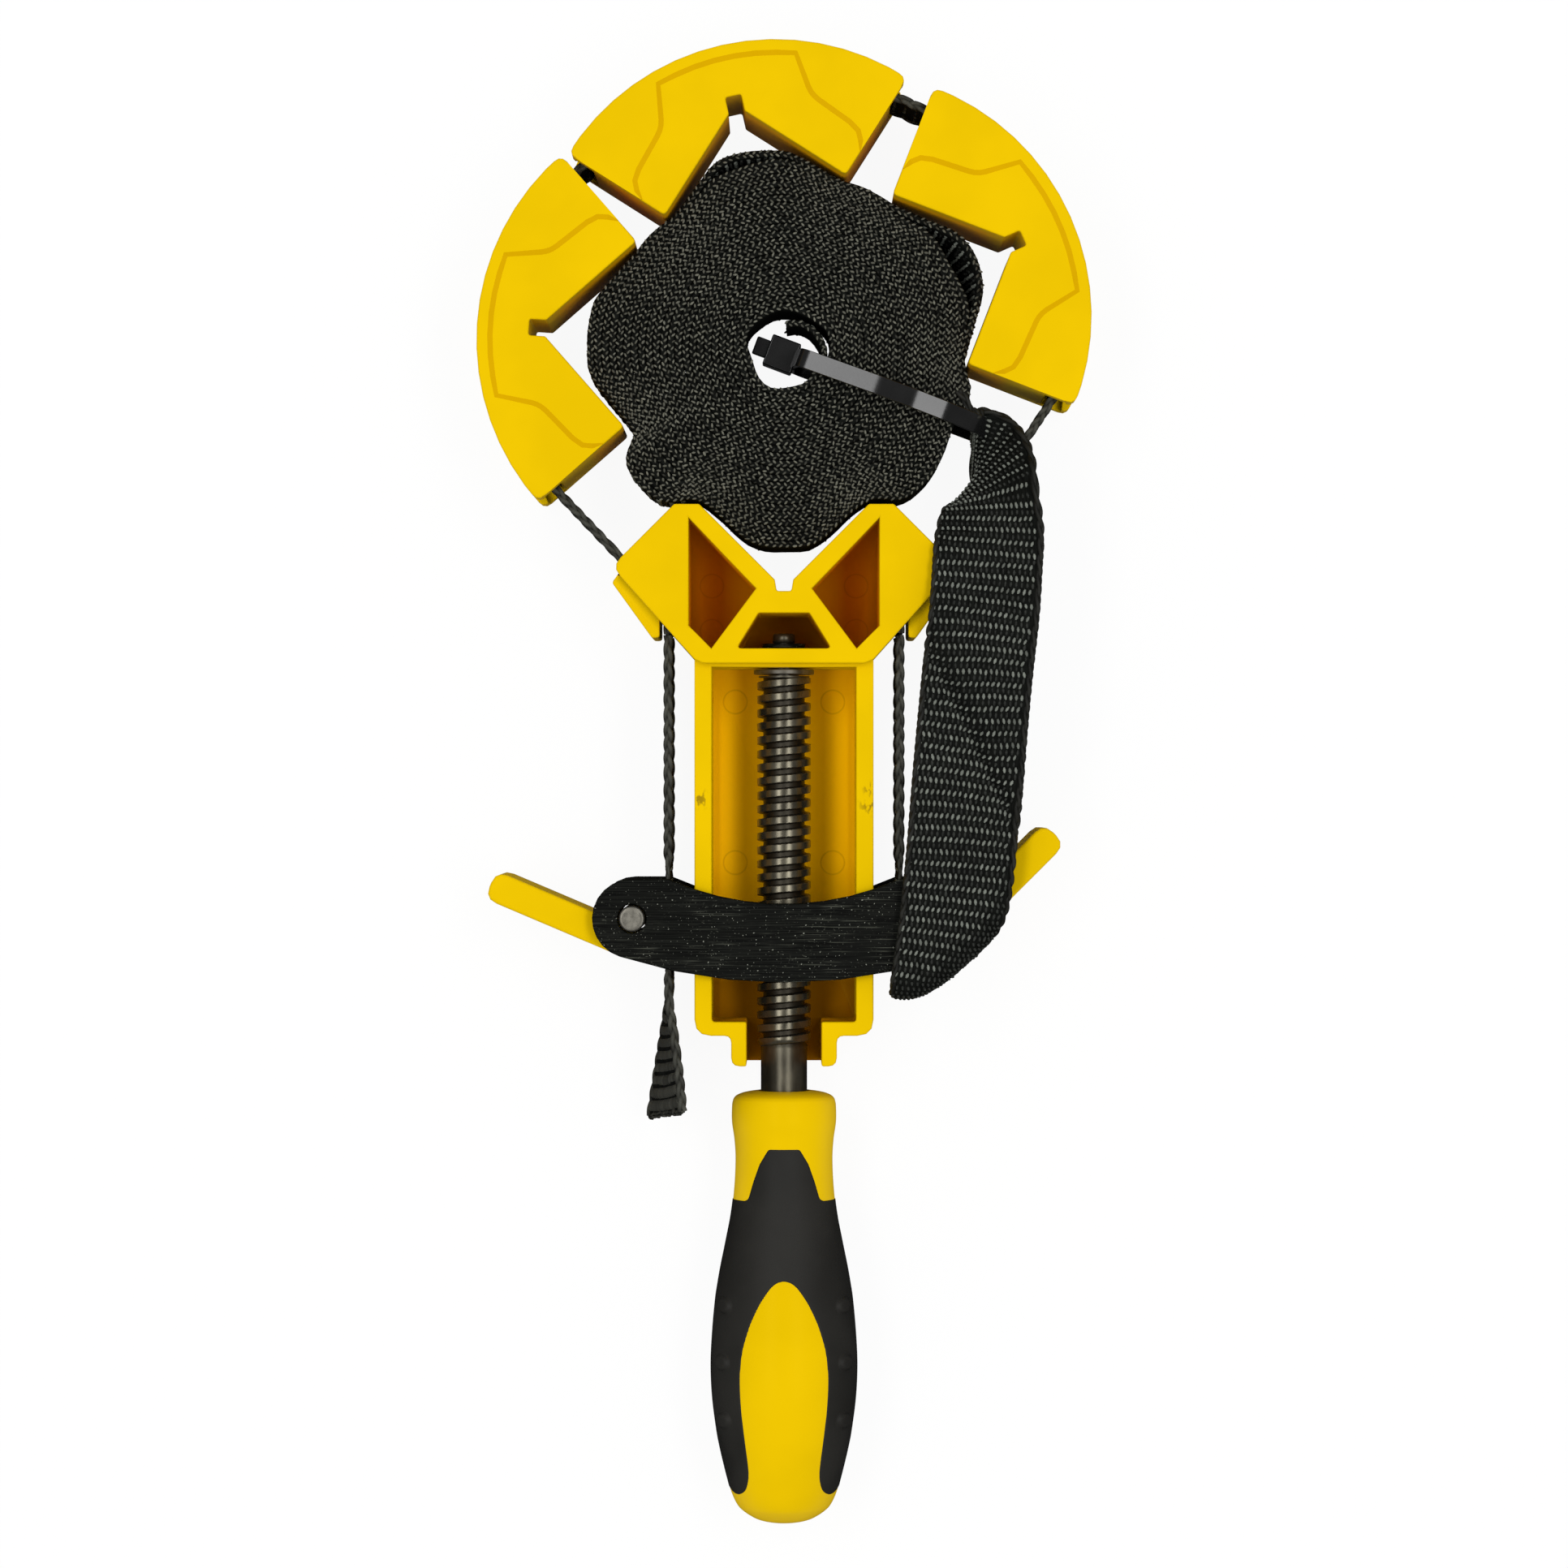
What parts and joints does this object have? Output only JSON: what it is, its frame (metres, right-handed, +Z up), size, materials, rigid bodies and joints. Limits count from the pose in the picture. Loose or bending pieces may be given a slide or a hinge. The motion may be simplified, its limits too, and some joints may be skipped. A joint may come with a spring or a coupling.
{
  "type": "band clamp",
  "caption": "Webbing band clamp with loose plastic corner jaws on the band, a screw carriage that draws the band tight and cam levers that lock it, with the spare band rolled up and tied.",
  "frame": {"origin": "on the bench under the middle of the part's outline as it lies on its back", "axes": "+X to the right of the picture, +Y along the screw from the handle to the jaws, +Z up from the bench out of the clamp's open front"},
  "size_m": [0.1406, 0.3404, 0.0418],
  "materials": {
    "yellow_plastic": "moulded, slightly glossy",
    "grip_rubber": "soft matte grip",
    "oiled_steel": "oily, dark",
    "plain_steel": "dull",
    "black_steel": "blackened, brushed",
    "webbing": "woven",
    "tie_nylon": "glossy"
  },
  "bodies": {
    "frame": {"clamp_body": "yellow_plastic", "band_loop": "webbing", "band_left_run": "webbing", "band_right_run": "webbing", "band_tail": "webbing", "band_coil": "webbing", "cable_tie": "tie_nylon", "cable_tie_head": "tie_nylon"},
    "screw": {"spindle": "oiled_steel", "thrust_washer": "plain_steel", "retaining_ring": "black_steel", "handle_core": "yellow_plastic", "handle_grip": "grip_rubber"},
    "carriage": {"front_plate": "black_steel", "rear_plate": "black_steel", "nut_bar": "oiled_steel", "left_anvil": "black_steel", "right_anvil": "black_steel", "left_pin": "plain_steel", "right_pin": "plain_steel", "band_left_end": "webbing", "band_right_end": "webbing"},
    "left_cam": {"left_lever": "yellow_plastic"},
    "right_cam": {"right_lever": "yellow_plastic"},
    "jaw_left": {"left_jaw": "yellow_plastic"},
    "jaw_top": {"top_jaw": "yellow_plastic"},
    "jaw_right": {"right_jaw": "yellow_plastic"}
  },
  "joints": [
    {"name": "screw_turn", "type": "hinge", "parent": "frame", "child": "screw", "pos_m": [0, 0, 0.017], "axis": [0, 1, 0], "range_deg": [-5400, 1080]},
    {"name": "carriage_slide", "type": "slide", "parent": "frame", "child": "carriage", "axis": [0, -1, 0], "range_m": [-0.0476, 0.0095], "deforming": ["band_left_run", "band_right_run", "band_tail"]},
    {"name": "left_cam_turn", "type": "hinge", "parent": "carriage", "child": "left_cam", "pos_m": [-0.0348, -0.0308, 0.017], "axis": [0, 0, -1], "range_deg": [0, 45]},
    {"name": "right_cam_turn", "type": "hinge", "parent": "carriage", "child": "right_cam", "pos_m": [0.0348, -0.0308, 0.017], "axis": [0, 0, 1], "range_deg": [-22, 23]},
    {"name": "left_jaw_slide", "type": "hinge", "parent": "frame", "child": "jaw_left", "pos_m": [-0.01449, 0.10152, 0.017], "axis": [0, 0, 1], "range_deg": [0, 5]},
    {"name": "top_jaw_slide", "type": "hinge", "parent": "frame", "child": "jaw_top", "pos_m": [-0.00202, 0.11442, 0.017], "axis": [0, 0, 1], "range_deg": [-2, 0]},
    {"name": "right_jaw_slide", "type": "hinge", "parent": "frame", "child": "jaw_right", "pos_m": [0.01449, 0.10702, 0.017], "axis": [0, 0, 1], "range_deg": [-1.5, 2.5]}
  ],
  "couplings": [
    {"joint": "screw_turn", "follows": "carriage_slide", "rad_per_m": 1979}
  ]
}
